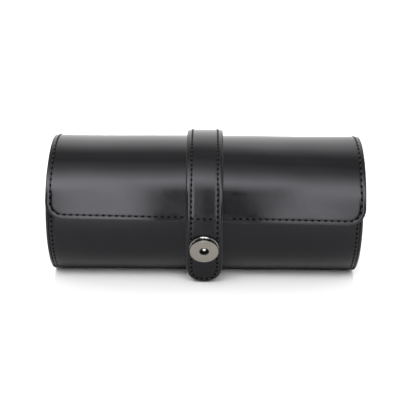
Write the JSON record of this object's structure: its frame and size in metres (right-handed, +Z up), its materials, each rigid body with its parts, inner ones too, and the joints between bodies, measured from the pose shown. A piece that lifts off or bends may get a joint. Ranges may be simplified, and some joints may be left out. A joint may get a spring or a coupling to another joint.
{
  "type": "watch roll",
  "caption": "Cylindrical black leather travel roll for wristwatches, with a hinged flap, a strap with a magnetic button and loose suede pillows.",
  "frame": {"origin": "centre of the flat base of the case, on its underside", "axes": "+X along the roll to the right as seen from the front, +Z up, the front with the button faces -Y"},
  "size_m": [0.1806, 0.0903, 0.0837],
  "materials": {
    "black_leather": "smooth, soft gloss",
    "thread": "waxed thread",
    "lining_suede": "napped suede",
    "pillow_suede": "napped suede",
    "foam": "open-cell foam",
    "board": "grey board",
    "bright_steel": "polished",
    "black_nickel": "polished rim, satin face",
    "magnet": "satin"
  },
  "bodies": {
    "case": {"body_shell": "black_leather", "body_board": "board", "body_lining": "lining_suede", "left_end_panel": "black_leather", "left_end_board": "board", "left_end_lining": "lining_suede", "left_end_welt": "black_leather", "left_divider_cover": "lining_suede", "left_divider_board": "board", "left_front_seam": "thread", "left_rear_seam": "thread", "right_end_panel": "black_leather", "right_end_board": "board", "right_end_lining": "lining_suede", "right_end_welt": "black_leather", "right_divider_cover": "lining_suede", "right_divider_board": "board", "right_front_seam": "thread", "right_rear_seam": "thread", "lip_seam": "thread", "flap_root": "black_leather", "root_seam": "thread", "base_plate": "bright_steel", "base_rivet": "bright_steel", "base_washer": "bright_steel"},
    "flap": {"flap_leather": "black_leather", "flap_lining": "lining_suede", "strap_backing": "black_leather", "strap_face": "black_leather", "left_flap_seam": "thread", "right_flap_seam": "thread", "left_strap_seam": "thread", "right_strap_seam": "thread"},
    "strap_tail": {"tail_face": "black_leather", "tail_backing": "black_leather", "tail_seam": "thread", "button_case": "black_nickel", "button_magnet": "magnet", "button_rivet": "bright_steel", "button_plate": "bright_steel"},
    "left_pillow": {"left_pillow_core": "foam", "left_pillow_sleeve": "pillow_suede", "left_pillow_left_cap": "pillow_suede", "left_pillow_right_cap": "pillow_suede"},
    "centre_pillow": {"centre_pillow_core": "foam", "centre_pillow_sleeve": "pillow_suede", "centre_pillow_left_cap": "pillow_suede", "centre_pillow_right_cap": "pillow_suede"},
    "right_pillow": {"right_pillow_core": "foam", "right_pillow_sleeve": "pillow_suede", "right_pillow_left_cap": "pillow_suede", "right_pillow_right_cap": "pillow_suede"}
  },
  "joints": [
    {"name": "flap_hinge", "type": "hinge", "parent": "case", "child": "flap", "pos_m": [0, 0.0344, 0.06209], "axis": [-1, 0, 0], "range_deg": [0, 150]},
    {"name": "strap_tail_bend", "type": "hinge", "parent": "flap", "child": "strap_tail", "pos_m": [0, -0.04548, 0.03943], "axis": [-1, 0, 0], "range_deg": [0, 110]},
    {"name": "left_pillow_turn", "type": "hinge", "parent": "case", "child": "left_pillow", "pos_m": [-0.05813, 0, 0.0303], "axis": [1, 0, 0], "continuous": true},
    {"name": "centre_pillow_turn", "type": "hinge", "parent": "case", "child": "centre_pillow", "pos_m": [0, 0, 0.0303], "axis": [1, 0, 0], "continuous": true},
    {"name": "right_pillow_turn", "type": "hinge", "parent": "case", "child": "right_pillow", "pos_m": [0.05813, 0, 0.0303], "axis": [1, 0, 0], "continuous": true}
  ]
}
